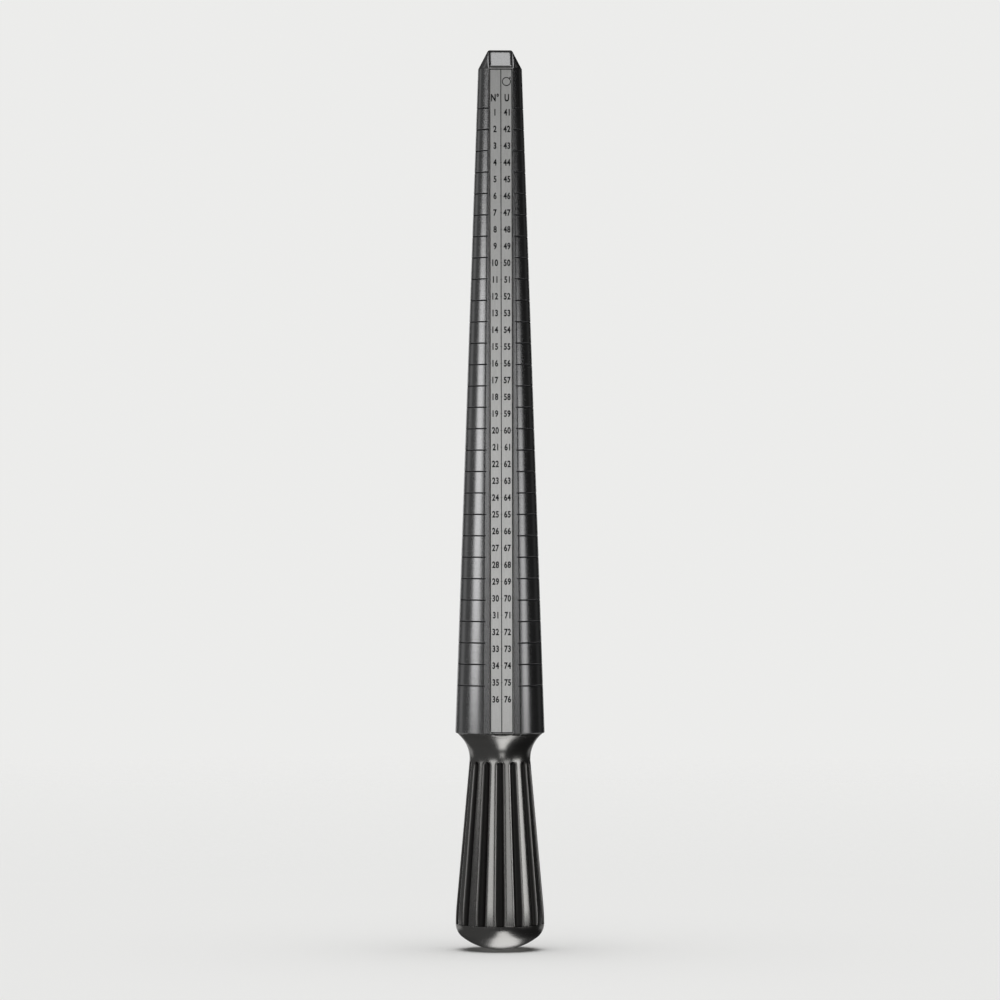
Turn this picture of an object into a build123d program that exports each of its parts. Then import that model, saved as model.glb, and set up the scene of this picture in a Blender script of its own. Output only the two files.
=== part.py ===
from build123d import *
import os
from math import acos, atan, atan2, cos, degrees, hypot, pi, radians, sin, tan

# Ring mandrel: a tapered aluminium gauge stick with two scale plates and a fluted aluminium handle.
# The mandrel's axis is Z, with the domed end of the handle at the origin and the nose at the top.
# The front scale faces -Y and the rear scale faces +Y. Lengths are in millimetres, angles in degrees.

# The scale sets the taper: the circumference at a mark is the mark's number, in millimetres.
largest_mark = 76.0
largest_mark_height = 70.0
mark_pitch = 4.64

# Heights along the axis.
total_length = 250.0
nose_height = 244.6
shoulder_height = 60.3
neck_height = 53.1
cap_joint_height = 7.3

# Nose.
nose_top_radius = 3.3
nose_edge_radius = 0.8
nose_facet_height = 244.6
nose_facet_angle = 36.0
nose_crest_radius = 2.0

# Grooves for the half sizes of the United States scale.
first_groove_size = 1.5
last_groove_size = 15.0
groove_size_step = 0.5
groove_width = 0.36
groove_depth = 0.18
groove_offset = 1.75
size_zero_diameter = 11.63
diameter_per_size = 0.8128

# Milled flats and the plates let into them.
flat_depth = 1.1
slot_depth = 0.5
plate_width = 6.6
plate_thickness = 0.55
plate_side_gap = 0.05
plate_foot_gap = 0.3
plate_edge_chamfer = 0.08

# Joint between the gauge body and the handle.
edge_chamfer = 0.25
boss_radius = 5.5
boss_length = 6.0
boss_gap = 0.3
rod_radius = 3.0
rod_top_height = 80.0
rod_end_height = 13.5
rod_chamfer = 0.6
tapped_hole_end = 82.0
drill_point_angle = 31.0
rod_clearance = 0.3
dowel_radius = 1.0
dowel_offset = 7.0
dowel_low_height = 56.2
dowel_high_height = 65.0
dowel_hole_gap = 0.3
dowel_chamfer = 0.2

# Handle.
flange_radius = 11.7
neck_radius = 8.45
neck_arc_radius = 9.0
butt_radius = 12.3
butt_arc_radius = 60.0
flute_count = 14
flute_turn = -2.5
flute_start_height = 51.6
flute_top_half_width = 0.95
flute_top_depth = 0.75
flute_end_half_width = 1.35
flute_end_depth = 1.1
flute_overrun = 3.0
socket_radius = 8.0
socket_end_height = 22.0

# Clamping nut, spring washer and domed cap.
washer_radius = 6.0
washer_thickness = 1.5
washer_gap_width = 1.2
washer_gap_angle = 20.0
nut_across_flats = 10.0
nut_height = 5.0
nut_corner_angle = 30.0
cap_crown_radius = 17.0
cap_spigot_length = 5.0
cap_spigot_chamfer = 0.5
cap_rim_chamfer = 0.15

taper_angle = degrees(atan(1 / (2 * pi * mark_pitch)))


def radius_at(height):
    """Radius of the gauge's round surface at a height."""
    circumference = largest_mark - (height - largest_mark_height) / mark_pitch
    return circumference / (2 * pi)


def height_of_circumference(circumference):
    """Height at which the gauge has a circumference."""
    return largest_mark_height + (largest_mark - circumference) * mark_pitch


def groove_heights():
    """Heights of the size grooves, from the smallest size to the largest."""
    count = round((last_groove_size - first_groove_size) / groove_size_step) + 1
    sizes = [first_groove_size + groove_size_step * step for step in range(count)]
    diameters = [size_zero_diameter + diameter_per_size * size for size in sizes]
    return [height_of_circumference(pi * diameter) - groove_offset for diameter in diameters]


def flat_plane(height, tilt):
    """A plane on the front of the gauge whose normal leans towards the nose by the tilt.

    It passes through the milled flat at the height. Its X runs across and its Y runs towards the nose.
    """
    distance = radius_at(height) - flat_depth
    normal = (0, -cos(radians(tilt)), sin(radians(tilt)))
    return Plane(origin=(0, -distance, height), x_dir=(1, 0, 0), z_dir=normal)


def above(plane):
    """A block that covers everything outside a plane."""
    size = 2 * total_length
    return plane * Box(size, size, size, align=(Align.CENTER, Align.CENTER, Align.MIN))


def turned(profile):
    """A solid of revolution about Z from a face in the XZ plane."""
    return revolve(profile, Axis.Z, 360)


def both_sides(shape):
    """A front feature with its copy on the rear."""
    return shape + Rot(0, 0, 180) * shape


def cylinder_between(radius, low, high):
    """A cylinder on the axis between two heights."""
    return Pos(0, 0, low) * Cylinder(radius, high - low, align=(Align.CENTER, Align.CENTER, Align.MIN))


flat_cut = both_sides(above(flat_plane(largest_mark_height, taper_angle)))
nose_cut = both_sides(above(flat_plane(nose_facet_height, nose_facet_angle)))


def crest_cut():
    """What lies outside the round between the front facet and the flat end of the nose."""
    lean = radians(nose_facet_angle)
    setback = nose_crest_radius * tan(radians(45) - lean / 2)
    corner = radius_at(nose_facet_height) - flat_depth - (total_length - nose_facet_height) * tan(lean)
    centre = Vector(0, setback - corner, total_length - nose_crest_radius)
    facet_normal = Vector(0, -cos(lean), sin(lean))
    up = Vector(0, 0, 1)
    arc_middle = centre + (facet_normal + up).normalized() * nose_crest_radius
    facet_end = centre + facet_normal * nose_crest_radius
    crest_end = centre + up * nose_crest_radius
    arc = ThreePointArc(facet_end, arc_middle, crest_end)
    outer = Polyline(
        crest_end,
        crest_end + up,
        crest_end + up + facet_normal * nose_crest_radius,
        facet_end + facet_normal,
        facet_end,
    )
    return extrude(make_face(arc + outer), total_length, both=True)


def groove_points():
    """Profile points of the turned grooves, from the lowest groove upwards."""
    points = []
    half_width = groove_width / 2
    for height in reversed(groove_heights()):
        points.append((radius_at(height - half_width), height - half_width))
        points.append((radius_at(height) - groove_depth, height))
        points.append((radius_at(height + half_width), height + half_width))
    return points


def make_barrel():
    """The tapered gauge body, with its flats, plate slots, size grooves and the boss for the handle."""
    boss_end = shoulder_height - boss_length
    outline = [
        (0, boss_end),
        (boss_radius - edge_chamfer, boss_end),
        (boss_radius, boss_end + edge_chamfer),
        (boss_radius, shoulder_height),
        (radius_at(shoulder_height) - edge_chamfer, shoulder_height),
        (radius_at(shoulder_height + edge_chamfer), shoulder_height + edge_chamfer),
        *groove_points(),
        (radius_at(nose_height), nose_height),
        (nose_top_radius, total_length),
        (0, total_length),
    ]
    corners = [Vector(x, 0, z) for x, z in outline]
    profile = make_face(Polyline(*corners, close=True))
    tip = profile.vertices().sort_by_distance((nose_top_radius, 0, total_length))[0]
    barrel = turned(fillet(tip, nose_edge_radius)) - flat_cut - nose_cut - both_sides(crest_cut())
    slot = Box(
        plate_width + 2 * plate_side_gap,
        2 * total_length,
        slot_depth,
        align=(Align.CENTER, Align.CENTER, Align.MAX),
    )
    slots = both_sides(flat_plane(largest_mark_height, taper_angle) * slot)
    barrel -= slots - cylinder_between(boss_radius, boss_end, shoulder_height)
    drill_point = Pos(0, 0, tapped_hole_end) * Cone(
        rod_radius,
        0,
        rod_radius * tan(radians(drill_point_angle)),
        align=(Align.CENTER, Align.CENTER, Align.MIN),
    )
    barrel -= cylinder_between(rod_radius, boss_end, tapped_hole_end) + drill_point
    dowel_hole = cylinder_between(dowel_radius, shoulder_height, dowel_high_height + dowel_hole_gap)
    return barrel - Pos(dowel_offset, 0, 0) * dowel_hole


def make_plate():
    """A scale plate in its slot at the front: a long thin strip that ends flush with the nose facet."""
    foot = (shoulder_height + plate_foot_gap - largest_mark_height) / cos(radians(taper_angle))
    head = (total_length - largest_mark_height) / cos(radians(taper_angle))
    strip = Box(
        plate_width,
        head - foot,
        plate_thickness,
        align=(Align.CENTER, Align.MIN, Align.MAX),
    )
    proud = plate_thickness - slot_depth
    plate = flat_plane(largest_mark_height, taper_angle) * (Pos(0, foot, proud) * strip)
    outer_face = plate.faces().sort_by(Axis.Y)[0]
    long_edges = outer_face.edges().sort_by(SortBy.LENGTH)[-2:]
    facet_cut = above(flat_plane(nose_facet_height, nose_facet_angle))
    return chamfer(long_edges, plate_edge_chamfer) - facet_cut


def flare_angle():
    """Angle of the handle's flare, on the line that touches both the neck's arc and the butt's arc."""
    across = neck_radius + neck_arc_radius - (butt_radius - butt_arc_radius)
    along = neck_height - cap_joint_height
    lean = atan2(along, across)
    return degrees(lean - acos((neck_arc_radius + butt_arc_radius) / hypot(across, along)))


def handle_profile():
    """Half section of the handle without its bores, in the XZ plane."""
    lean = radians(flare_angle())
    neck_centre = (neck_radius + neck_arc_radius, neck_height)
    butt_centre = (butt_radius - butt_arc_radius, cap_joint_height)
    flange_rise = acos((neck_centre[0] - flange_radius) / neck_arc_radius)
    flange_arc_top = neck_height + neck_arc_radius * sin(flange_rise)
    if flange_arc_top >= shoulder_height:
        raise ValueError("the neck's arc reaches past the shoulder")
    flare_top = Vector(
        neck_centre[0] - neck_arc_radius * cos(lean), 0, neck_centre[1] - neck_arc_radius * sin(lean)
    )
    flare_end = Vector(
        butt_centre[0] + butt_arc_radius * cos(lean), 0, butt_centre[1] + butt_arc_radius * sin(lean)
    )
    half_lean = lean / 2
    flange_corner = Vector(flange_radius, 0, flange_arc_top)
    neck = ThreePointArc(flange_corner, Vector(neck_radius, 0, neck_height), flare_top)
    flare = Line(flare_top, flare_end)
    butt_middle = Vector(
        butt_centre[0] + butt_arc_radius * cos(half_lean),
        0,
        butt_centre[1] + butt_arc_radius * sin(half_lean),
    )
    butt = ThreePointArc(flare_end, butt_middle, Vector(butt_radius, 0, cap_joint_height))
    closing = Polyline(
        Vector(butt_radius, 0, cap_joint_height),
        Vector(0, 0, cap_joint_height),
        Vector(0, 0, shoulder_height),
        Vector(flange_radius, 0, shoulder_height),
        flange_corner,
    )
    return make_face(neck + flare + butt + closing)


def flute_cutter():
    """One tapered round-nosed flute, at the front of the handle."""
    lean = radians(flare_angle())
    flare_top_radius = neck_radius + neck_arc_radius * (1 - cos(lean))
    flare_top_height = neck_height - neck_arc_radius * sin(lean)
    end_height = cap_joint_height - flute_overrun

    def section(height, half_width, depth):
        cutter_radius = (half_width**2 + depth**2) / (2 * depth)
        surface = flare_top_radius + (flare_top_height - height) * tan(lean)
        return cutter_radius, surface + cutter_radius - depth

    top_radius, top_distance = section(flute_start_height, flute_top_half_width, flute_top_depth)
    end_radius, end_distance = section(end_height, flute_end_half_width, flute_end_depth)
    top = Vector(0, -top_distance, flute_start_height)
    end = Vector(0, -end_distance, end_height)
    along = top - end
    axis_plane = Plane(origin=end, x_dir=(1, 0, 0), z_dir=along)
    cone = Cone(end_radius, top_radius, along.length, align=(Align.CENTER, Align.CENTER, Align.MIN))
    return axis_plane * cone + Pos(*top) * Sphere(top_radius)


def make_handle():
    """The fluted handle, with the socket for the nut at its foot and the seat for the barrel's boss."""
    handle = turned(handle_profile()) - flat_cut
    cutter = flute_cutter()
    for index in range(flute_count):
        handle -= Rot(0, 0, flute_turn + index * 360 / flute_count) * cutter
    boss_seat_end = shoulder_height - boss_length - boss_gap
    handle -= cylinder_between(boss_radius, boss_seat_end, shoulder_height)
    handle -= cylinder_between(rod_radius + rod_clearance, socket_end_height, boss_seat_end)
    handle -= cylinder_between(socket_radius, cap_joint_height, socket_end_height)
    dowel_hole = cylinder_between(dowel_radius, dowel_low_height - dowel_hole_gap, shoulder_height)
    return handle - Pos(dowel_offset, 0, 0) * dowel_hole


def make_end_cap():
    """The domed cap, turned with a round edge and a flatter crown, on a spigot that fits the socket."""
    rise = cap_crown_radius - cap_joint_height
    edge_radius = (cap_crown_radius**2 - butt_radius**2 - rise**2) / (2 * (cap_crown_radius - butt_radius))
    edge_centre = Vector(butt_radius - edge_radius, 0, cap_joint_height)
    crown_centre = Vector(0, 0, cap_crown_radius)
    outwards = (edge_centre - crown_centre).normalized()
    meeting = crown_centre + outwards * cap_crown_radius
    half_way = (Vector(1, 0, 0) + outwards).normalized()
    rim = Vector(butt_radius, 0, cap_joint_height)
    edge = ThreePointArc(rim, edge_centre + half_way * edge_radius, meeting)
    crown_angle = atan2(meeting.X, cap_crown_radius - meeting.Z) / 2
    crown_middle = crown_centre + Vector(sin(crown_angle), 0, -cos(crown_angle)) * cap_crown_radius
    crown = ThreePointArc(meeting, crown_middle, Vector(0, 0, 0))
    spigot_top = cap_joint_height + cap_spigot_length
    closing = Polyline(
        Vector(0, 0, 0),
        Vector(0, 0, spigot_top),
        Vector(socket_radius - cap_spigot_chamfer, 0, spigot_top),
        Vector(socket_radius, 0, spigot_top - cap_spigot_chamfer),
        Vector(socket_radius, 0, cap_joint_height),
        rim,
    )
    cap = turned(make_face(edge + crown + closing))
    rim_edge = cap.edges().filter_by(GeomType.CIRCLE).sort_by(SortBy.LENGTH)[-1]
    return chamfer(rim_edge, cap_rim_chamfer)


def make_tie_rod():
    """The stud that pulls the handle against the barrel, with chamfered ends."""
    rod = cylinder_between(rod_radius, rod_end_height, rod_top_height)
    return chamfer(rod.edges().filter_by(GeomType.CIRCLE), rod_chamfer)


def make_dowel():
    """The pin that keeps the handle from turning on the barrel."""
    pin = Pos(dowel_offset, 0, 0) * cylinder_between(dowel_radius, dowel_low_height, dowel_high_height)
    return chamfer(pin.edges().filter_by(GeomType.CIRCLE), dowel_chamfer)


def make_washer():
    """The split spring washer under the nut, pressed flat."""
    low = socket_end_height - washer_thickness
    ring = cylinder_between(washer_radius, low, socket_end_height)
    ring -= cylinder_between(rod_radius, low, socket_end_height)
    split = Box(
        washer_gap_width,
        2 * washer_radius,
        4 * washer_thickness,
        align=(Align.CENTER, Align.MAX, Align.CENTER),
    )
    return ring - Pos(0, 0, low + washer_thickness / 2) * Rot(0, washer_gap_angle, 0) * split


def make_nut():
    """The hexagon nut on the tie rod, with its corners chamfered top and bottom."""
    high = socket_end_height - washer_thickness
    low = high - nut_height
    corner_radius = nut_across_flats / 2 / cos(radians(30))
    hexagon = extrude(RegularPolygon(corner_radius, 6), nut_height)
    rise = (corner_radius - nut_across_flats / 2) * tan(radians(nut_corner_angle))
    blank = Cylinder(corner_radius, nut_height, align=(Align.CENTER, Align.CENTER, Align.MIN))
    ends = blank.edges().filter_by(GeomType.CIRCLE)
    blank = chamfer(ends, rise, corner_radius - nut_across_flats / 2)
    return Pos(0, 0, low) * (hexagon & blank) - cylinder_between(rod_radius, low, high)


front_plate = make_plate()
parts = {
    "barrel": make_barrel(),
    "front_scale_plate": front_plate,
    "rear_scale_plate": Rot(0, 0, 180) * front_plate,
    "handle": make_handle(),
    "end_cap": make_end_cap(),
    "tie_rod": make_tie_rod(),
    "alignment_dowel": make_dowel(),
    "spring_washer": make_washer(),
    "clamp_nut": make_nut(),
}

os.makedirs("parts", exist_ok=True)
for name, shape in parts.items():
    export_step(shape, f"parts/{name}.step")
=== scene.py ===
from math import acos, asin, atan, atan2, ceil, cos, hypot, pi, radians, sin, sqrt, tan

import bmesh
import bpy
from mathutils import Matrix, Vector


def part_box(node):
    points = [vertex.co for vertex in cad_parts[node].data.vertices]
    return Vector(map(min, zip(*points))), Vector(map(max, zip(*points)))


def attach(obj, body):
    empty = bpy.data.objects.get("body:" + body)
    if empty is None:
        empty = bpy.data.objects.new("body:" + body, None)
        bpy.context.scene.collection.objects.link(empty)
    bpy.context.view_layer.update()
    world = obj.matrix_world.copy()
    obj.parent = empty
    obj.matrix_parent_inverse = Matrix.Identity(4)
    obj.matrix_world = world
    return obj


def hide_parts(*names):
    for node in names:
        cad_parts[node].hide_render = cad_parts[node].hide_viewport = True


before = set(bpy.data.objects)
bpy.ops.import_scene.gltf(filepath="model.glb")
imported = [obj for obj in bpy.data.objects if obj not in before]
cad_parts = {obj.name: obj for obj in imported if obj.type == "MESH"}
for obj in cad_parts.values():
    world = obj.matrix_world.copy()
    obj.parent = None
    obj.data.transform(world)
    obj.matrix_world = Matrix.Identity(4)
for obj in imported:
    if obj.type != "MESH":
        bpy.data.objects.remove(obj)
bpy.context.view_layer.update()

# Ring mandrel: detailed meshes, materials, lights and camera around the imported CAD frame.
# The mandrel's axis is Z and its front scale faces -Y. Azimuth 0 is the front and grows towards +X.
# Shapes are worked out in millimetres and scaled to metres when a mesh becomes an object.
MM = 0.001

# Taper of the gauge: the circumference at a mark is the mark's number, in millimetres.
LARGEST_MARK = 76.0
LARGEST_MARK_HEIGHT = 70.0
MARK_PITCH = 4.64
TAPER = atan(1 / (2 * pi * MARK_PITCH))

# Heights along the axis.
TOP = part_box("barrel")[1].z / MM
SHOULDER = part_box("handle")[1].z / MM
NOSE = 244.6
NECK = 53.1
CAP_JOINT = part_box("handle")[0].z / MM

# Nose, flats and edges.
NOSE_TOP_RADIUS = 3.3
NOSE_EDGE_RADIUS = 0.8
NOSE_CREST_RADIUS = 2.0
FACET_HEIGHT = NOSE
FACET_ANGLE = radians(36)
FLAT_DEPTH = 1.1
EDGE_CHAMFER = 0.25
EDGE_ROUND = 0.12
LEAST_LAND = 0.06
# Rounded edges: how many rounds fit on the land, how many softened edges of the slot fit on a round, and
# how far the outer corner drops, as a share of the round.
ROUNDS_PER_LAND = 5
SLOT_EDGES_PER_ROUND = 3
CORNER_DROP = 0.06
NOSE_ROW_GAP = 0.06

# Points around the barrel: those of the front flat with its slot, and the steps of each round side.
SLOT_FLOOR_STEPS = 8
FRONT_POINTS = SLOT_FLOOR_STEPS + 12
BARREL_ARC_STEPS = 96
NOSE_EDGE_STEPS = 16
NOSE_ROW = 0.2
# Radius at which a turned surface ends beside its axis.
CENTRE_HOLE = 0.02

# Scale plates and their slots.
SLOT_DEPTH = 0.5
SLOT_HALF_WIDTH = 3.35
PLATE_HALF_WIDTH = 3.3
PLATE_THICKNESS = 0.55
PLATE_CHAMFER = 0.08
PLATE_FOOT_GAP = 0.3
PLATE_FOOT_ROUND = (0.06, 0.03)
# Height of the plate's outer face above the flat.
PLATE_FACE = PLATE_THICKNESS - SLOT_DEPTH
PLATE_FACE_STEPS = 8
PLATE_ROW = 5
PLATE_HEAD_BLEND = 1.2

# Size grooves.
FIRST_GROOVE_SIZE = 1.5
LAST_GROOVE_SIZE = 15.0
GROOVE_SIZE_STEP = 0.5
GROOVE_WIDTH = 0.36
GROOVE_DEPTH = 0.18
GROOVE_OFFSET = 1.75
SIZE_ZERO_DIAMETER = 11.63
DIAMETER_PER_SIZE = 0.8128
# A groove's rows: the place across it in half widths, the share of its depth, and whether the faces
# above the row are dark.
GROOVE_ROWS = (
    (-1.15, 0.0, False),
    (-0.9, 0.15, True),
    (-0.15, 0.92, True),
    (0.15, 0.92, True),
    (0.9, 0.15, False),
    (1.15, 0.0, False),
)

# Handle and cap.
FLANGE_RADIUS = 11.7
NECK_RADIUS = 8.45
NECK_ARC_RADIUS = 9.0
BUTT_RADIUS = 12.3
BUTT_ARC_RADIUS = 60.0
FLUTE_COUNT = 14
FLUTE_TURN = radians(-2.5)
FLUTE_START = 51.6
FLUTE_TOP_SIZE = (0.95, 0.75)
FLUTE_END_SIZE = (1.35, 1.1)
FLUTE_OVERRUN = 3.0
FLUTE_STEPS = 14
RIB_STEPS = 16
# Narrowest flute, in radians, whose edges gather points, and the place of the gathered points on plain
# sections, as a share of the pitch.
LEAST_FLUTE_EDGE = 0.004
PLAIN_GATHER = 0.25
# Half width of the gathered band: in millimetres, and at most this share of the flute's half angle.
GATHER_BAND = 0.12
GATHER_SHARE = 0.2
EDGE_SEARCH_STEPS = 30
# Rows of points up the handle: their spacing, and the gaps left at the ends of the evenly spaced ones.
FLARE_ROW = 1.2
FLARE_ROW_GAPS = (1.0, 0.5)
CUTTER_TOP_ROW = 6
NECK_ROW = 0.2
NECK_ROW_GAP = 0.3
END_ROW = 0.1
RIB_ROUND = 0.8
RIB_DROP = 0.1
# Width in millimetres over which the painted flute shade fades out at a flute's edge.
FLUTE_SHADE_SPREAD = 0.18
CAP_CROWN_RADIUS = 17.0
CAP_STEPS = 192
CAP_ARC_STEPS = 24

# Printing on the plates.
INK_RAISE = 0.012
INK_SINK = 0.005
INK_FACE = PLATE_FACE + INK_RAISE
FIGURE_HEIGHT = 1.87
FIGURE_WIDTH = 0.74
FIGURE_BOLDNESS = 0.036
HEADING_HEIGHT = 2.1
HEADING_WIDTH = 0.7
UNIT_WIDTH = 0.5
FIGURE_SPACING = 1.1
FIGURE_LIFT = 0.35
LINE_WIDTH = 0.24
BORDER_WIDTH = 0.3
LINE_HEAD_GAP = 0.05
LINE_FOOT_GAP = 0.1
FIRST_MARK = 41
REAR_SIZES = (1.5, 15.5)
REAR_DIAMETERS = (13, 24)
TICK = 0.18
TICK_WIDTH = 0.08
THIN = 0.12
DASH = 1.1
COLUMN = PLATE_HALF_WIDTH / 2
COLUMN_EDGE = PLATE_HALF_WIDTH - PLATE_CHAMFER - BORDER_WIDTH

# Headings: their heights as circumferences, the outer and inner radii of the two ring symbols, and the
# corners of the front symbol's arrow head, measured from the column's middle and the ring's centre.
FRONT_HEADING_MARK = FIRST_MARK - 0.87
FRONT_SYMBOL_MARK = FIRST_MARK - 1.84
REAR_HEADING_MARK = 39.6
REAR_LINE_STEP = 1.3
REAR_SYMBOL_DROP = 1.5
RING_SYMBOL = (1.25, 1.0)
RING_SHIFT = 0.1
ARROW_HEAD = ((0.62, 0.95), (1.24, 0.75), (0.92, 1.45))
DIAMETER_SYMBOL = (0.85, 0.68)
DIAMETER_BAR = (0.14, 2.2)
SYMBOL_STEPS = 32

# Joint between barrel and handle, hidden inside.
BOSS_RADIUS = 5.5
BOSS_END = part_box("barrel")[0].z / MM
BOSS_GAP = 0.3
ROD_RADIUS = 3.0
ROD_CLEARANCE = 0.3
BORE_END = 82.0
BORE_TIP = 83.8
SOCKET_RADIUS = 8.0
SOCKET_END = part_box("spring_washer")[1].z / MM
SPIGOT_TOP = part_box("end_cap")[1].z / MM
SPIGOT_CHAMFER = 0.5
RIM_CHAMFER = 0.15

# Tones: light and dark where there are two.
BARREL_TONES = ((0.66, 0.66, 0.665), (0.56, 0.56, 0.565))
HANDLE_TONES = ((0.68, 0.67, 0.65), (0.6, 0.59, 0.57))
# Painted shade: the dark colour of the flutes' floors, which stands in for the dark reflections they show.
PAINTED_FLUTE_SHADE = (0.07, 0.068, 0.066)
PLATE_TONES = ((0.68, 0.68, 0.67), (0.56, 0.56, 0.55))
FASTENER_TONES = ((0.5, 0.5, 0.52), (0.4, 0.4, 0.42))
INK_TONE = (0.012, 0.012, 0.013)
GROOVE_TONE = (0.014, 0.014, 0.015)

# Textures: how many features to a metre, on each axis or on all, and bump depths in metres.
FINE_LINES = (6.0, 6.0, 5200.0)
COARSE_LINES = (10.0, 10.0, 900.0)
SCUFFS = (900.0, 900.0, 60.0)
METAL_CLOUDS = 55.0
PLATE_GRAIN = (3800.0, 3800.0, 160.0)
PLATE_SPECKLE = 2600.0
PLATE_CLOUDS = 70.0
INK_CLOUDS = 1500.0
LINE_BUMP = 0.00004
CLOUD_BUMP = 0.0002
GRAIN_BUMP = 0.00003

# Stage: lengths are in metres, and the sensor is in millimetres.
PALE = (0.84, 0.84, 0.83)
ROOM_LEFT = 0.07
ROOM_RIGHT = 0.012
# X of the directions at which the room's brightness has reached its left and right values.
ROOM_FADE = (-0.6, 0.5)
FLOOR_RADIUS = 1.2
FLOOR_FADE = (0.25, 0.95)
SUN_STRENGTH = 3.0
SUN_ANGLE = radians(60)
SENSOR = 36.0
CAMERA_DISTANCE = 1.5
CAMERA_AZIMUTH = -2.5
VIEW_HEIGHT = 0.278
MIDDLE = Vector((0.0, 0.0, TOP * MM / 2))


def radius_at(height):
    """Radius of the gauge's round surface at a height."""
    return (LARGEST_MARK - (height - LARGEST_MARK_HEIGHT) / MARK_PITCH) / (2 * pi)


def height_of_circumference(circumference):
    """Height at which the gauge has a circumference."""
    return LARGEST_MARK_HEIGHT + (LARGEST_MARK - circumference) * MARK_PITCH


def height_of_diameter(diameter):
    """Height at which the gauge has a diameter."""
    return height_of_circumference(pi * diameter)


def size_diameter(size):
    """Inner diameter of a ring of a United States size."""
    return SIZE_ZERO_DIAMETER + DIAMETER_PER_SIZE * size


def nose_radius_at(height):
    """Radius of the nose's cone at a height."""
    share = (height - NOSE) / (TOP - NOSE)
    return radius_at(NOSE) + (NOSE_TOP_RADIUS - radius_at(NOSE)) * share


def flat_distance(height):
    """Distance of the milled flat from the axis at a height."""
    return radius_at(height) - FLAT_DEPTH


def facet_distance(height):
    """Distance from the axis, at a height, of the nose's facet and of the round that ends it."""
    crest = TOP - NOSE_CREST_RADIUS
    if height < crest + NOSE_CREST_RADIUS * sin(FACET_ANGLE):
        return flat_distance(FACET_HEIGHT) - (height - FACET_HEIGHT) * tan(FACET_ANGLE)
    corner = flat_distance(FACET_HEIGHT) - (TOP - FACET_HEIGHT) * tan(FACET_ANGLE)
    centre = corner - NOSE_CREST_RADIUS * tan((pi / 2 - FACET_ANGLE) / 2)
    return centre + sqrt(max(0.0, NOSE_CREST_RADIUS**2 - (height - crest) ** 2))


# ------------------------------------------------------------ mesh helpers


def spread(low, high, step):
    """Evenly spaced values from low to high, no further apart than step."""
    count = max(1, ceil(abs(high - low) / step - 1e-9))
    return [low + (high - low) * i / count for i in range(count + 1)]


def skin(bm, rings, caps=True):
    """Joins closed rings of points, listed from low to high, into a tube with flat ends."""
    rows = [[bm.verts.new(point) for point in ring] for ring in rings]
    count = len(rows[0])
    for row in range(len(rows) - 1):
        lower, upper = rows[row], rows[row + 1]
        for i in range(count):
            j = (i + 1) % count
            bm.faces.new((lower[i], lower[j], upper[j], upper[i]))
    if caps:
        bm.faces.new(list(reversed(rows[0])))
        bm.faces.new(rows[-1])
    return rows


def make_piece(name, bm, materials, nodes):
    """Turns a bmesh in millimetres into a smooth piece that stands for CAD nodes."""
    bmesh.ops.scale(bm, vec=(MM, MM, MM), verts=bm.verts)
    mesh = bpy.data.meshes.new(name)
    bm.to_mesh(mesh)
    bm.free()
    for material in materials:
        mesh.materials.append(material)
    mesh.shade_smooth()
    piece = bpy.data.objects.new(name, mesh)
    bpy.context.scene.collection.objects.link(piece)
    normals = piece.modifiers.new("weighted_normals", "WEIGHTED_NORMAL")
    normals.weight = 80
    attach(piece, "root")
    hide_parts(*nodes)
    return piece


# ------------------------------------------------------------ materials


class Nodes:
    """Short calls for building a material's node tree."""

    def __init__(self, name):
        self.material = bpy.data.materials.new(name)
        self.material.use_nodes = True
        self.tree = self.material.node_tree
        self.tree.nodes.clear()
        self.shader = self.add("ShaderNodeBsdfPrincipled")
        output = self.add("ShaderNodeOutputMaterial")
        self.link(self.shader.outputs["BSDF"], output.inputs["Surface"])
        self.position = self.add("ShaderNodeTexCoord").outputs["Object"]

    def add(self, kind):
        return self.tree.nodes.new(kind)

    def link(self, source, target):
        self.tree.links.new(source, target)

    def stretched(self, scale):
        """Object coordinates multiplied by a scale on each axis."""
        mapping = self.add("ShaderNodeMapping")
        mapping.inputs["Scale"].default_value = scale
        self.link(self.position, mapping.inputs["Vector"])
        return mapping.outputs["Vector"]

    def noise(self, vector, scale, detail=3.0, roughness=0.55):
        node = self.add("ShaderNodeTexNoise")
        node.inputs["Scale"].default_value = scale
        node.inputs["Detail"].default_value = detail
        node.inputs["Roughness"].default_value = roughness
        self.link(vector, node.inputs["Vector"])
        return node.outputs["Fac"]

    def ramp(self, value, low, high, out_low, out_high):
        """Maps a value from one range to another, clamped."""
        node = self.add("ShaderNodeMapRange")
        node.inputs["From Min"].default_value = low
        node.inputs["From Max"].default_value = high
        node.inputs["To Min"].default_value = out_low
        node.inputs["To Max"].default_value = out_high
        self.link(value, node.inputs["Value"])
        return node.outputs["Result"]

    def math(self, operation, first, second):
        node = self.add("ShaderNodeMath")
        node.operation = operation
        for socket, value in zip(node.inputs, (first, second)):
            if isinstance(value, (int, float)):
                socket.default_value = value
            else:
                self.link(value, socket)
        return node.outputs["Value"]

    def mix(self, factor, first, second):
        """Mixes two colours, given as sockets or as tuples."""
        node = self.add("ShaderNodeMix")
        node.data_type = "RGBA"
        named = {s.identifier: s for s in node.inputs}
        self.link(factor, named["Factor_Float"])
        for key, value in (("A_Color", first), ("B_Color", second)):
            if isinstance(value, tuple):
                named[key].default_value = (*value, 1.0)
            else:
                self.link(value, named[key])
        return {s.identifier: s for s in node.outputs}["Result_Color"]

    def bump(self, height, strength, distance, normal=None):
        node = self.add("ShaderNodeBump")
        node.inputs["Strength"].default_value = strength
        node.inputs["Distance"].default_value = distance
        self.link(height, node.inputs["Height"])
        if normal is not None:
            self.link(normal, node.inputs["Normal"])
        return node.outputs["Normal"]


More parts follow.
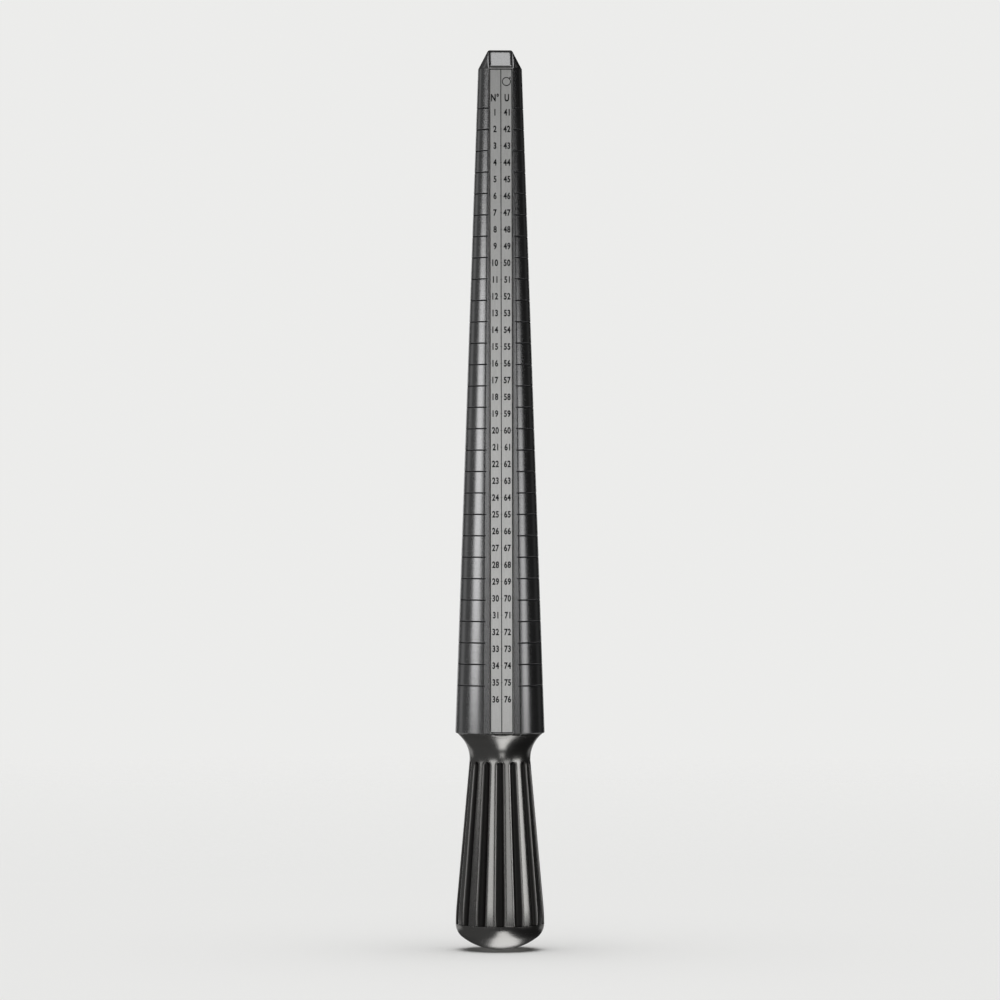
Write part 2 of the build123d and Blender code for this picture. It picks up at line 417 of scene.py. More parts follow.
def turned_metal(name, light, dark, roughness, line_strength, wear, painted_flute_shade=None):
    """Satin metal with fine lines around the axis, faint cloudiness and small scratches.

    Where the mesh's flute shade attribute is 1, the metal takes the dark flute colour and is rougher. The
    dark colour is painted shade that stands in for the dark reflections in the flutes.
    """
    nodes = Nodes(name)
    shader = nodes.shader
    fine = nodes.noise(nodes.stretched(FINE_LINES), 1.0, 2.0, 0.6)
    coarse = nodes.noise(nodes.stretched(COARSE_LINES), 1.0, 3.0, 0.6)
    cloud = nodes.noise(nodes.position, METAL_CLOUDS, 4.0, 0.6)
    scuff = nodes.noise(nodes.stretched(SCUFFS), 1.0, 4.0, 0.7)
    lines = nodes.math("ADD", nodes.math("MULTIPLY", fine, 0.6), nodes.math("MULTIPLY", coarse, 0.4))
    tone = nodes.math("ADD", nodes.math("MULTIPLY", lines, 0.6), nodes.math("MULTIPLY", cloud, 0.4))
    colour = nodes.mix(nodes.ramp(tone, 0.35, 0.65, 0.0, 1.0), dark, light)
    worn = nodes.ramp(scuff, 0.66, 0.74, 0.0, wear)
    colour = nodes.mix(worn, colour, tuple(c * 0.55 for c in light))
    gloss = nodes.math("ADD", nodes.ramp(tone, 0.3, 0.7, roughness * 0.85, roughness * 1.2), worn)
    # Painted shade: the colour goes over to the dark flute colour where the flute shade attribute is 1.
    if painted_flute_shade:
        attribute = nodes.add("ShaderNodeAttribute")
        attribute.attribute_name = "painted_flute_shade"
        depth = attribute.outputs["Fac"]
        colour = nodes.mix(depth, colour, painted_flute_shade)
        gloss = nodes.math("ADD", gloss, nodes.math("MULTIPLY", depth, 0.25))
    nodes.link(colour, shader.inputs["Base Color"])
    nodes.link(gloss, shader.inputs["Roughness"])
    grain = nodes.bump(lines, line_strength, LINE_BUMP)
    nodes.link(nodes.bump(cloud, 0.03, CLOUD_BUMP, grain), shader.inputs["Normal"])
    shader.inputs["Metallic"].default_value = 1.0
    return nodes.material


def plate_metal(name, light, dark):
    """Matt anodised aluminium with a fine lengthwise grain."""
    nodes = Nodes(name)
    shader = nodes.shader
    grain = nodes.noise(nodes.stretched(PLATE_GRAIN), 1.0, 3.0, 0.6)
    speckle = nodes.noise(nodes.position, PLATE_SPECKLE, 2.0, 0.5)
    cloud = nodes.noise(nodes.position, PLATE_CLOUDS, 3.0, 0.5)
    tone = nodes.math("ADD", nodes.math("MULTIPLY", grain, 0.45), nodes.math("MULTIPLY", speckle, 0.3))
    tone = nodes.math("ADD", tone, nodes.math("MULTIPLY", cloud, 0.25))
    colour = nodes.mix(nodes.ramp(tone, 0.35, 0.65, 0.0, 1.0), dark, light)
    nodes.link(colour, shader.inputs["Base Color"])
    nodes.link(nodes.ramp(tone, 0.3, 0.7, 0.42, 0.58), shader.inputs["Roughness"])
    nodes.link(nodes.bump(grain, 0.12, GRAIN_BUMP), shader.inputs["Normal"])
    shader.inputs["Metallic"].default_value = 0.35
    return nodes.material


def ink(name, colour):
    """Matt black filling, a little uneven in tone."""
    nodes = Nodes(name)
    cloud = nodes.noise(nodes.position, INK_CLOUDS, 3.0, 0.6)
    lighter = tuple(c * 2.2 for c in colour)
    tone = nodes.mix(nodes.ramp(cloud, 0.35, 0.7, 0.0, 1.0), colour, lighter)
    nodes.link(tone, nodes.shader.inputs["Base Color"])
    nodes.link(nodes.ramp(cloud, 0.3, 0.7, 0.5, 0.75), nodes.shader.inputs["Roughness"])
    nodes.shader.inputs["Specular IOR Level"].default_value = 0.15
    return nodes.material


# Each metal: name, light and dark tones, then roughness, strength of the lines, wear and the painted shade
# colour of its flutes.
barrel_metal = turned_metal("barrel_satin", *BARREL_TONES, 0.24, 0.35, 0.06)
handle_metal = turned_metal("handle_satin", *HANDLE_TONES, 0.24, 0.2, 0.1, PAINTED_FLUTE_SHADE)
plate_finish = plate_metal("plate_anodised", *PLATE_TONES)
black_ink = ink("marking_black", INK_TONE)
groove_dark = ink("groove_dark", GROOVE_TONE)
fastener_metal = turned_metal("fastener_turned", *FASTENER_TONES, 0.3, 0.3, 0.1)

for node in ("tie_rod", "alignment_dowel", "spring_washer", "clamp_nut"):
    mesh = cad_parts[node].data
    mesh.materials.clear()
    mesh.materials.append(fastener_metal)


# ------------------------------------------------------------ barrel


def barrel_half(radius, flat, slot_floor):
    """Half of the barrel's outline: the whole front, then the right side as far as the rear corner.

    The front is at -Y, and the other half is the same, turned by half a turn.
    """
    land = sqrt(radius**2 - flat**2)
    slot = min(SLOT_HALF_WIDTH, land - LEAST_LAND)
    round_off = min(EDGE_ROUND, (land - slot) / ROUNDS_PER_LAND)
    soft = round_off / SLOT_EDGES_PER_ROUND
    wall_top = max(flat - soft, slot_floor)
    corner_angle = asin(land / radius)
    corner_radius = radius - CORNER_DROP * round_off
    corner = (corner_radius * sin(corner_angle), corner_radius * cos(corner_angle))
    left = [
        (land - round_off, flat),
        (land - 2 * round_off, flat),
        (slot + 3 * soft, flat),
        (slot + soft, flat),
        (slot, wall_top),
    ]
    points = [(-x, -y) for x, y in left]
    points += [(slot * (2 * i / SLOT_FLOOR_STEPS - 1), -slot_floor) for i in range(SLOT_FLOOR_STEPS + 1)]
    points += [(x, -y) for x, y in reversed(left)]
    points.append((corner[0], -corner[1]))
    start = corner_angle + round_off / radius
    for i in range(BARREL_ARC_STEPS + 1):
        angle = start + (pi - 2 * start) * i / BARREL_ARC_STEPS
        points.append((radius * sin(angle), -radius * cos(angle)))
    points.append(corner)
    return points


def barrel_ring(height, radius):
    """A full section of the barrel at a height, for a turned radius."""
    flat = min(flat_distance(height), facet_distance(height))
    slot_floor = min(flat_distance(height) - SLOT_DEPTH / cos(TAPER), flat)
    half = barrel_half(radius, flat, slot_floor)
    return [(x, y, height) for x, y in half] + [(-x, -y, height) for x, y in half]


def circle_like(ring, radius, height):
    """A circle with its points at the same azimuths as another ring's."""
    points = []
    for x, y, _ in ring:
        length = hypot(x, y)
        points.append((x / length * radius, y / length * radius, height))
    return points


def groove_heights():
    """Heights of the size grooves, from the lowest upwards."""
    count = round((LAST_GROOVE_SIZE - FIRST_GROOVE_SIZE) / GROOVE_SIZE_STEP) + 1
    sizes = [FIRST_GROOVE_SIZE + GROOVE_SIZE_STEP * i for i in range(count)]
    return sorted(height_of_diameter(size_diameter(size)) - GROOVE_OFFSET for size in sizes)


def build_barrel():
    """The gauge body: bored boss, chamfered shoulder, grooved taper and faceted nose."""
    bm = bmesh.new()
    rows = []
    rows.append((SHOULDER, radius_at(SHOULDER) - EDGE_CHAMFER, False))
    rows.append((SHOULDER + EDGE_CHAMFER, radius_at(SHOULDER + EDGE_CHAMFER), False))
    half = GROOVE_WIDTH / 2
    for height in groove_heights():
        for offset, share, inside in GROOVE_ROWS:
            level = height + offset * half
            rows.append((level, radius_at(level) - share * GROOVE_DEPTH, inside))
    rows.append((NOSE - NOSE_ROW_GAP, radius_at(NOSE - NOSE_ROW_GAP), False))
    cone_lean = atan((radius_at(NOSE) - NOSE_TOP_RADIUS) / (TOP - NOSE))
    tangent = NOSE_EDGE_RADIUS * tan((pi / 2 - cone_lean) / 2)
    arc_low = TOP - tangent * cos(cone_lean)
    cone_levels = spread(NOSE + NOSE_ROW_GAP, arc_low, NOSE_ROW)
    rows += [(level, nose_radius_at(level), False) for level in cone_levels]
    for i in range(1, NOSE_EDGE_STEPS + 1):
        angle = cone_lean + (pi / 2 - cone_lean) * i / NOSE_EDGE_STEPS
        level = TOP - NOSE_EDGE_RADIUS * (1 - sin(angle))
        rows.append((level, NOSE_TOP_RADIUS - tangent + NOSE_EDGE_RADIUS * cos(angle), False))
    rings = [barrel_ring(level, radius) for level, radius, _ in rows]
    bore = [
        circle_like(rings[0], CENTRE_HOLE, BORE_TIP),
        circle_like(rings[0], ROD_RADIUS, BORE_END),
        circle_like(rings[0], ROD_RADIUS, BOSS_END),
        circle_like(rings[0], BOSS_RADIUS, BOSS_END),
        circle_like(rings[0], BOSS_RADIUS, SHOULDER),
    ]
    inside = [False] * len(bore) + [flag for _, _, flag in rows]
    skin(bm, bore + rings)
    count = len(rings[0])
    bm.faces.index_update()
    for face in bm.faces:
        row, column = divmod(face.index, count)
        on_arc = FRONT_POINTS - 2 <= column % (count // 2)
        if face.index < count * (len(inside) - 1) and inside[row] and on_arc:
            face.material_index = 1
    return make_piece("barrel_body", bm, [barrel_metal, groove_dark], ["barrel"])


# ------------------------------------------------------------ scale plates


def on_plate(x, along, out):
    """A point from the front plate's own coordinates: across, towards the nose, and out of the flat."""
    lift = flat_distance(LARGEST_MARK_HEIGHT)
    y = -lift + along * sin(TAPER) - out * cos(TAPER)
    z = LARGEST_MARK_HEIGHT + along * cos(TAPER) + out * sin(TAPER)
    return Vector((x, y, z))


def along_at(height):
    """Distance along the plate, from the largest mark, of a height."""
    return (height - LARGEST_MARK_HEIGHT) / cos(TAPER)


def plate_head(out):
    """Distance along the plate at which the nose's facet cuts it, for a depth in the plate."""
    slope = tan(FACET_ANGLE)
    gap = flat_distance(LARGEST_MARK_HEIGHT) - flat_distance(FACET_HEIGHT) + out * cos(TAPER)
    rise = (LARGEST_MARK_HEIGHT + out * sin(TAPER) - FACET_HEIGHT) * slope
    return (gap + rise) / (sin(TAPER) - cos(TAPER) * slope)


def plate_skin(bm):
    """The plate itself: a long strip with chamfered outer edges, cut flush with the nose."""
    flat_half = PLATE_HALF_WIDTH - PLATE_CHAMFER
    steps = range(PLATE_FACE_STEPS + 1)
    section = [(-PLATE_HALF_WIDTH, -SLOT_DEPTH), (-PLATE_HALF_WIDTH, PLATE_FACE - PLATE_CHAMFER)]
    section += [(flat_half * (2 * i / PLATE_FACE_STEPS - 1), PLATE_FACE) for i in steps]
    section += [(PLATE_HALF_WIDTH, PLATE_FACE - PLATE_CHAMFER), (PLATE_HALF_WIDTH, -SLOT_DEPTH)]
    foot = along_at(SHOULDER + PLATE_FOOT_GAP)
    round_length, round_drop = PLATE_FOOT_ROUND
    blend_start = plate_head(PLATE_FACE) - PLATE_HEAD_BLEND
    rings = []
    for along in (foot, foot + round_length, *spread(foot + PLATE_ROW, blend_start, PLATE_ROW)):
        inset = round_drop if along == foot else 0.0
        rings.append([on_plate(x, along, out - inset * (out > 0)) for x, out in section])
    for share in (0.5, 1.0):
        ring = []
        for x, out in section:
            along = blend_start + (plate_head(out) - blend_start) * share
            ring.append(on_plate(x, along, out))
        rings.append(ring)
    skin(bm, rings)


def ink_bar(bm, x_low, x_high, along_low, along_high):
    """A printed bar: a very thin block on the plate's outer face."""
    corners = []
    for out in (PLATE_FACE - INK_SINK, INK_FACE):
        for x, along in ((x_low, along_low), (x_high, along_low), (x_high, along_high), (x_low, along_high)):
            corners.append(bm.verts.new(on_plate(x, along, out)))
    for loop in ((0, 3, 2, 1), (4, 5, 6, 7), (0, 1, 5, 4), (1, 2, 6, 5), (2, 3, 7, 6), (3, 0, 4, 7)):
        face = bm.faces.new([corners[i] for i in loop])
        face.material_index = 1
        face.smooth = False


def text_mesh(text):
    """The outline of a short text in the built-in font, filled, 1 unit high for a capital figure."""
    curve = bpy.data.curves.new("figure", "FONT")
    curve.body = text
    curve.align_x = "CENTER"
    curve.resolution_u = 6
    curve.space_character = FIGURE_SPACING
    curve.offset = FIGURE_BOLDNESS
    holder = bpy.data.objects.new("figure", curve)
    mesh = bpy.data.meshes.new_from_object(holder)
    bpy.data.objects.remove(holder)
    bpy.data.curves.remove(curve)
    return mesh


def text_box(mesh):
    """Lowest and highest corner of a flat mesh."""
    xs = [v.co.x for v in mesh.vertices]
    ys = [v.co.y for v in mesh.vertices]
    return min(xs), max(xs), min(ys), max(ys)


reference = text_mesh("8")
_, _, CAP_LOW, CAP_HIGH = text_box(reference)
bpy.data.meshes.remove(reference)


def ink_text(bm, text, x, along, height=FIGURE_HEIGHT, width=FIGURE_WIDTH):
    """Printed text centred on a point of the plate."""
    mesh = text_mesh(text)
    low, high, _, _ = text_box(mesh)
    scale = height / (CAP_HIGH - CAP_LOW)

    def place(co):
        across = x + (co.x - (low + high) / 2) * scale * width
        up = along + (co.y - (CAP_LOW + CAP_HIGH) / 2) * scale
        return on_plate(across, up, INK_FACE)

    verts = [bm.verts.new(place(v.co)) for v in mesh.vertices]
    for polygon in mesh.polygons:
        face = bm.faces.new([verts[i] for i in polygon.vertices])
        face.material_index = 1
        face.smooth = False
    bpy.data.meshes.remove(mesh)


def ink_ring(bm, x, along, outer, inner):
    """A printed ring, for the circumference and diameter symbols."""
    angles = [2 * pi * i / SYMBOL_STEPS for i in range(SYMBOL_STEPS)]
    loops = []
    for radius in (inner, outer):
        points = [on_plate(x + radius * cos(a), along + radius * sin(a), INK_FACE) for a in angles]
        loops.append([bm.verts.new(point) for point in points])
    for i in range(SYMBOL_STEPS):
        j = (i + 1) % SYMBOL_STEPS
        face = bm.faces.new((loops[0][i], loops[1][i], loops[1][j], loops[0][j]))
        face.material_index = 1
        face.smooth = False


def ink_triangle(bm, points):
    """A printed triangle, for an arrow head."""
    face = bm.faces.new([bm.verts.new(on_plate(x, along, INK_FACE)) for x, along in points])
    face.material_index = 1
    face.smooth = False


def frame_lines(bm):
    """The line down the middle, the border lines at both sides and the line that closes the foot."""
    head = plate_head(PLATE_FACE) - LINE_HEAD_GAP
    foot = along_at(SHOULDER + PLATE_FOOT_GAP) + LINE_WIDTH + LINE_FOOT_GAP
    ink_bar(bm, -LINE_WIDTH / 2, LINE_WIDTH / 2, foot, head)
    edge = PLATE_HALF_WIDTH - PLATE_CHAMFER
    ink_bar(bm, -edge, -edge + BORDER_WIDTH, foot, head)
    ink_bar(bm, edge - BORDER_WIDTH, edge, foot, head)
    ink_bar(bm, -edge, edge, foot - LINE_WIDTH, foot)
    ink_bar(bm, -edge, edge, head - LINE_WIDTH, head)


def side_ticks(bm, side, along):
    """Two short ticks at a figure's sides, from the column's own lines."""
    for low, high in ((LINE_WIDTH / 2, LINE_WIDTH / 2 + TICK), (COLUMN_EDGE - TICK, COLUMN_EDGE)):
        low, high = sorted((side * low, side * high))
        ink_bar(bm, low, high, along - TICK_WIDTH / 2, along + TICK_WIDTH / 2)


def print_front(bm):
    """Ring numbers on the left and circumferences in millimetres on the right."""
    for mark in range(FIRST_MARK, int(LARGEST_MARK) + 1):
        along = along_at(height_of_circumference(mark))
        ink_text(bm, str(mark - FIRST_MARK + 1), -COLUMN, along)
        ink_text(bm, str(mark), COLUMN, along)
        side_ticks(bm, -1, along)
        side_ticks(bm, 1, along)
    heading = along_at(height_of_circumference(FRONT_HEADING_MARK))
    ink_text(bm, "N\u00b0", -COLUMN, heading, HEADING_HEIGHT, HEADING_WIDTH)
    ink_text(bm, "U", COLUMN, heading, HEADING_HEIGHT, HEADING_WIDTH)
    symbol = along_at(height_of_circumference(FRONT_SYMBOL_MARK))
    ink_ring(bm, COLUMN - RING_SHIFT, symbol, *RING_SYMBOL)
    ink_triangle(bm, [(COLUMN + x, symbol + up) for x, up in ARROW_HEAD])


def quarters(low, high):
    """Every quarter from one value to another, both included, as a whole number of quarters."""
    return range(round(4 * low), round(4 * high) + 1)


def thin_line(bm, x_low, x_high, along):
    """A thin printed line across the plate."""
    ink_bar(bm, x_low, x_high, along - THIN / 2, along + THIN / 2)


def print_rear(bm):
    """United States sizes on the left and diameters in millimetres on the right."""
    for quarter in quarters(*REAR_SIZES):
        along = along_at(height_of_diameter(size_diameter(quarter / 4)))
        if quarter % 4 == 0:
            ink_text(bm, str(quarter // 4), -COLUMN, along)
            side_ticks(bm, -1, along)
        elif quarter % 2 == 0:
            thin_line(bm, -COLUMN_EDGE, 0, along)
        else:
            thin_line(bm, -COLUMN - DASH / 2, -COLUMN + DASH / 2, along)
    for quarter in quarters(*REAR_DIAMETERS):
        along = along_at(height_of_diameter(quarter / 4))
        if quarter % 2 == 0:
            thin_line(bm, 0, COLUMN_EDGE, along)
        else:
            thin_line(bm, COLUMN - DASH / 2, COLUMN + DASH / 2, along)
        if quarter % 4 == 0:
            ink_text(bm, str(quarter // 4), COLUMN, along + FIGURE_HEIGHT / 2 + FIGURE_LIFT)
    heading = along_at(height_of_circumference(REAR_HEADING_MARK))
    ink_text(bm, "U", -COLUMN, heading + REAR_LINE_STEP)
    ink_text(bm, "S", -COLUMN, heading - REAR_LINE_STEP)
    ink_text(bm, "mm", COLUMN, heading + REAR_LINE_STEP, FIGURE_HEIGHT, UNIT_WIDTH)
    symbol = heading - REAR_SYMBOL_DROP
    bar_width, bar_height = DIAMETER_BAR
    ink_ring(bm, COLUMN, symbol, *DIAMETER_SYMBOL)
    ink_bar(
        bm,
        COLUMN - bar_width / 2,
        COLUMN + bar_width / 2,
        symbol - bar_height / 2,
        symbol + bar_height / 2,
    )


def build_plate(name, node, printing, turned):
    """A printed scale plate, at the front or turned to the rear."""
    bm = bmesh.new()
    plate_skin(bm)
    frame_lines(bm)
    printing(bm)
    if turned:
        bmesh.ops.rotate(bm, verts=bm.verts, cent=(0, 0, 0), matrix=Matrix.Rotation(pi, 3, "Z"))
    return make_piece(name, bm, [plate_finish, black_ink], [node])


# ------------------------------------------------------------ handle


def flare_lean():
    """Angle from the axis of the handle's straight flare."""
    across = NECK_RADIUS + NECK_ARC_RADIUS - (BUTT_RADIUS - BUTT_ARC_RADIUS)
    along = NECK - CAP_JOINT
    return atan2(along, across) - acos((NECK_ARC_RADIUS + BUTT_ARC_RADIUS) / hypot(across, along))


LEAN = flare_lean()
FLARE_TOP = NECK - NECK_ARC_RADIUS * sin(LEAN)
FLARE_TOP_RADIUS = NECK_RADIUS + NECK_ARC_RADIUS * (1 - cos(LEAN))
FLARE_END = CAP_JOINT + BUTT_ARC_RADIUS * sin(LEAN)


def handle_radius(height):
    """Radius of the handle's turned surface at a height."""
    if height < FLARE_END:
        return BUTT_RADIUS - BUTT_ARC_RADIUS + sqrt(BUTT_ARC_RADIUS**2 - (height - CAP_JOINT) ** 2)
    if height < FLARE_TOP:
        return FLARE_TOP_RADIUS + (FLARE_TOP - height) * tan(LEAN)
    reach = min(abs(height - NECK), NECK_ARC_RADIUS * 0.999)
    arc = NECK_RADIUS + NECK_ARC_RADIUS - sqrt(NECK_ARC_RADIUS**2 - reach**2)
    return min(arc, FLANGE_RADIUS)


def cutter_at(height):
    """Radius and distance from the axis of the flute cutter's section at a height, or None above it."""

    def section(level, size):
        half_width, depth = size
        radius = (half_width**2 + depth**2) / (2 * depth)
        return radius, FLARE_TOP_RADIUS + (FLARE_TOP - level) * tan(LEAN) + radius - depth

    top_radius, top_distance = section(FLUTE_START, FLUTE_TOP_SIZE)
    end_level = CAP_JOINT - FLUTE_OVERRUN
    end_radius, end_distance = section(end_level, FLUTE_END_SIZE)
    if height > FLUTE_START:
        rise = height - FLUTE_START
        if rise >= top_radius:
            return None
        return sqrt(top_radius**2 - rise**2), top_distance
    share = (height - end_level) / (FLUTE_START - end_level)
    return (
        end_radius + (top_radius - end_radius) * share,
        end_distance + (top_distance - end_distance) * share,
    )


def cutter_reach(azimuth, radius, distance):
    """Distance from the axis to the flute's floor, at an azimuth from the flute's middle."""
    across = distance * sin(azimuth)
    if abs(across) >= radius:
        return None
    return distance * cos(azimuth) - sqrt(radius**2 - across**2)


def rib_reach(azimuth, surface, edge, drop):
    """Distance from the axis to the rounded rib beside a flute."""
    band = min(RIB_ROUND, surface * (pi / FLUTE_COUNT - edge))
    beyond = surface * (azimuth - edge)
    share = max(0.0, 1 - beyond / band)
    return surface - drop * share**2


def flute_profile(height):
    """The flute's section at a height: its edge azimuth, and a function from azimuth to reach."""
    surface = handle_radius(height)
    cutter = cutter_at(height)
    if not cutter or cutter[1] - cutter[0] >= surface:
        return None, lambda azimuth: surface
    radius, distance = cutter
    foot = (surface**2 + distance**2 - radius**2) / (2 * distance)
    edge = acos(min(1.0, foot / surface))
    drop = RIB_DROP * min(1.0, surface * edge / FLUTE_TOP_SIZE[0])

    def reach(azimuth):
        rib = rib_reach(azimuth, surface, edge, drop)
        floor = cutter_reach(azimuth, radius, distance)
        return rib if floor is None else min(rib, floor)

    low, high = 0.0, edge
    for _ in range(EDGE_SEARCH_STEPS):
        middle = (low + high) / 2
        floor = cutter_reach(middle, radius, distance)
        if floor is None or floor > rib_reach(middle, surface, edge, drop):
            high = middle
        else:
            low = middle
    return low, reach


def hollow_share(edge, beside, surface):
    """How much painted shade a point gets: 1 on a flute's floor, 0 on the rib, with a soft change at the
    flute's edge.
    """
    if not edge:
        return 0.0
    return max(0.0, min(1.0, 0.5 + surface * (edge - beside) / (2 * FLUTE_SHADE_SPREAD)))


def handle_ring(height):
    """A full section of the handle, with its points gathered at the flutes' edges, and each point's share of
    the painted flute shade.
    """
    pitch = 2 * pi / FLUTE_COUNT
    edge, reach = flute_profile(height)
    gather = edge if edge and edge > LEAST_FLUTE_EDGE else PLAIN_GATHER * pitch
    soft = min(GATHER_BAND / handle_radius(height), gather * GATHER_SHARE)
    inner = [(gather - soft) * (2 * i / FLUTE_STEPS - 1) for i in range(FLUTE_STEPS + 1)]
    rib = pitch - 2 * gather - 2 * soft
    outer = [gather + soft + rib * i / RIB_STEPS for i in range(RIB_STEPS + 1)]
    limit = flat_distance(height)
    points = []
    flute_shade_shares = []
    for flute in range(FLUTE_COUNT):
        for offset in inner + outer:
            beside = min(abs(offset), pitch - abs(offset))
            length = reach(beside)
            flute_shade_shares.append(hollow_share(edge, beside, handle_radius(height)))
            azimuth = FLUTE_TURN + flute * pitch + offset
            x, y = length * sin(azimuth), -length * cos(azimuth)
            if abs(y) > limit:
                x, y = x * limit / abs(y), y * limit / abs(y)
            points.append((x, y, height))
    return points, flute_shade_shares


def build_handle():
    """The fluted handle, with its bores."""
    bm = bmesh.new()
    cutter_top = cutter_at(FLUTE_START)[0]
    low_gap, high_gap = FLARE_ROW_GAPS
    levels = [CAP_JOINT, CAP_JOINT + END_ROW]
    levels += spread(CAP_JOINT + low_gap, FLUTE_START - high_gap, FLARE_ROW)
    levels += [FLUTE_START + cutter_top * sin(radians(angle)) for angle in range(0, 90, CUTTER_TOP_ROW)]
    levels += spread(FLUTE_START + cutter_top + END_ROW, SHOULDER - NECK_ROW_GAP, NECK_ROW)
    levels += [SHOULDER - END_ROW, SHOULDER]
    sections = [handle_ring(level) for level in levels]
    rings = [points for points, _ in sections]
    bore = [
        (BOSS_RADIUS, SHOULDER),
        (BOSS_RADIUS, BOSS_END - BOSS_GAP),
        (ROD_RADIUS + ROD_CLEARANCE, BOSS_END - BOSS_GAP),
        (ROD_RADIUS + ROD_CLEARANCE, SOCKET_END),
        (SOCKET_RADIUS, SOCKET_END),
        (SOCKET_RADIUS, CAP_JOINT),
    ]
    rings += [circle_like(rings[0], radius, level) for radius, level in bore]
    # Each point's share of the painted flute shade, which the handle's material reads.
    layer = bm.verts.layers.float.new("painted_flute_shade")
    rows = skin(bm, rings, caps=False)
    for row, (_, flute_shade_shares) in zip(rows, sections):
        for vert, value in zip(row, flute_shade_shares):
            vert[layer] = value
    count = len(rows[0])
    for i in range(count):
        j = (i + 1) % count
        bm.faces.new((rows[-1][i], rows[-1][j], rows[0][j], rows[0][i]))
    return make_piece("fluted_handle", bm, [handle_metal], ["handle"])


def build_cap():
    """The domed cap: flat crown, rounder edge, chamfered rim and spigot."""
    rise = CAP_CROWN_RADIUS - CAP_JOINT
    edge_radius = (CAP_CROWN_RADIUS**2 - BUTT_RADIUS**2 - rise**2) / (2 * (CAP_CROWN_RADIUS - BUTT_RADIUS))
    edge_centre = BUTT_RADIUS - edge_radius
    turn = atan2(edge_centre, rise)
    profile = [(CENTRE_HOLE, 0.0)]
    for i in range(1, CAP_ARC_STEPS + 1):
        angle = turn * i / CAP_ARC_STEPS
        profile.append((CAP_CROWN_RADIUS * sin(angle), CAP_CROWN_RADIUS * (1 - cos(angle))))
    for i in range(1, CAP_ARC_STEPS + 1):
        angle = turn + (pi / 2 - turn) * i / CAP_ARC_STEPS
        profile.append((edge_centre + edge_radius * sin(angle), CAP_JOINT - edge_radius * cos(angle)))
    profile[-1] = (BUTT_RADIUS, CAP_JOINT - RIM_CHAMFER)
    profile += [(BUTT_RADIUS - RIM_CHAMFER, CAP_JOINT), (SOCKET_RADIUS, CAP_JOINT)]
    profile.append((SOCKET_RADIUS, SPIGOT_TOP - SPIGOT_CHAMFER))
    profile.append((SOCKET_RADIUS - SPIGOT_CHAMFER, SPIGOT_TOP))
    angles = [2 * pi * i / CAP_STEPS for i in range(CAP_STEPS)]
    rings = [[(radius * sin(a), -radius * cos(a), level) for a in angles] for radius, level in profile]
    bm = bmesh.new()
    skin(bm, rings)
    return make_piece("domed_cap", bm, [handle_metal], ["end_cap"])


barrel = build_barrel()
front_plate = build_plate("front_scale", "front_scale_plate", print_front, False)
rear_plate = build_plate("rear_scale", "rear_scale_plate", print_rear, True)
handle = build_handle()
cap = build_cap()


# ------------------------------------------------------------ stage, lights and camera


def pale_floor():
    """A round pale floor that fades out into the pale surroundings."""
    bm = bmesh.new()
    bmesh.ops.create_circle(bm, cap_ends=True, segments=96, radius=FLOOR_RADIUS)
    mesh = bpy.data.meshes.new("floor")
    bm.to_mesh(mesh)
    bm.free()
    floor = bpy.data.objects.new("floor", mesh)
    bpy.context.scene.collection.objects.link(floor)
    nodes = Nodes("floor_pale")
    nodes.shader.inputs["Base Color"].default_value = (*PALE, 1.0)
    nodes.shader.inputs["Roughness"].default_value = 0.9
    nodes.shader.inputs["Specular IOR Level"].default_value = 0.1
    distance = nodes.add("ShaderNodeVectorMath")
    distance.operation = "LENGTH"
    nodes.link(nodes.position, distance.inputs[0])
    fade_start, fade_end = (FLOOR_RADIUS * share for share in FLOOR_FADE)
    fade = nodes.ramp(distance.outputs["Value"], fade_start, fade_end, 1.0, 0.0)
    nodes.link(fade, nodes.shader.inputs["Alpha"])
    mesh.materials.append(nodes.material)
    floor.visible_glossy = False
    floor.visible_shadow = False
    return floor


def surroundings():
    """Pale to the camera and dimmer to the metal, so that the lights shape the reflections."""
    world = bpy.data.worlds.new("studio")
    bpy.context.scene.world = world
    world.use_nodes = True
    tree = world.node_tree
    tree.nodes.clear()
    seen = tree.nodes.new("ShaderNodeBackground")
    seen.inputs["Color"].default_value = (*PALE, 1.0)
    dim = tree.nodes.new("ShaderNodeBackground")
    direction = tree.nodes.new("ShaderNodeTexCoord")
    parts = tree.nodes.new("ShaderNodeSeparateXYZ")
    across = tree.nodes.new("ShaderNodeMapRange")
    across.inputs["From Min"].default_value = ROOM_FADE[0]
    across.inputs["From Max"].default_value = ROOM_FADE[1]
    across.inputs["To Min"].default_value = ROOM_LEFT
    across.inputs["To Max"].default_value = ROOM_RIGHT
    tree.links.new(direction.outputs["Generated"], parts.inputs["Vector"])
    tree.links.new(parts.outputs["X"], across.inputs["Value"])
    tree.links.new(across.outputs["Result"], dim.inputs["Strength"])
    path = tree.nodes.new("ShaderNodeLightPath")
    mix = tree.nodes.new("ShaderNodeMixShader")
    output = tree.nodes.new("ShaderNodeOutputWorld")
    tree.links.new(path.outputs["Is Camera Ray"], mix.inputs["Fac"])
    tree.links.new(dim.outputs["Background"], mix.inputs[1])
    tree.links.new(seen.outputs["Background"], mix.inputs[2])
    tree.links.new(mix.outputs["Shader"], output.inputs["Surface"])


def light_group(name, pieces):
    """A set of pieces that can have lights of their own."""
    group = bpy.data.collections.new(name)
    for piece in pieces:
        group.objects.link(piece)
    return group


